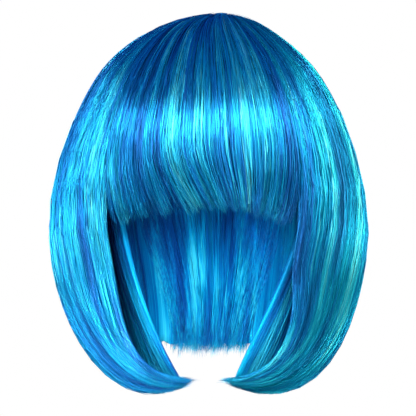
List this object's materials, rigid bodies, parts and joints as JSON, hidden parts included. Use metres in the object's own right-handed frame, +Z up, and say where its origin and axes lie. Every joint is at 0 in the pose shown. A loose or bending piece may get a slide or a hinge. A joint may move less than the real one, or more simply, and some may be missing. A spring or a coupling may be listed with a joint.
{
  "type": "bob wig",
  "caption": "Chin-length bob wig with a straight fringe, side locks that curl in under the chin and a shorter back, held in worn shape and open for the head and neck.",
  "frame": {"origin": "the middle of the crown's underside, where the top of the wearer's head touches it", "axes": "+Z up, -Y to the front (the fringe), +X to the right of someone who looks at the front"},
  "size_m": [0.2287, 0.2452, 0.2706],
  "materials": {
    "hair": "glossy synthetic fibre, bright blue with cyan lights",
    "inner_hair": "glossy synthetic fibre, deeper blue",
    "whorl_patch": "matt knotted mesh"
  },
  "bodies": {
    "root": {"crown": "hair", "fringe": "hair", "side_lock_left": "hair", "side_lock_right": "hair", "back": "hair", "under_lock_left": "inner_hair", "under_lock_right": "inner_hair", "nape": "inner_hair", "whorl_patch": "whorl_patch"}
  },
  "joints": []
}
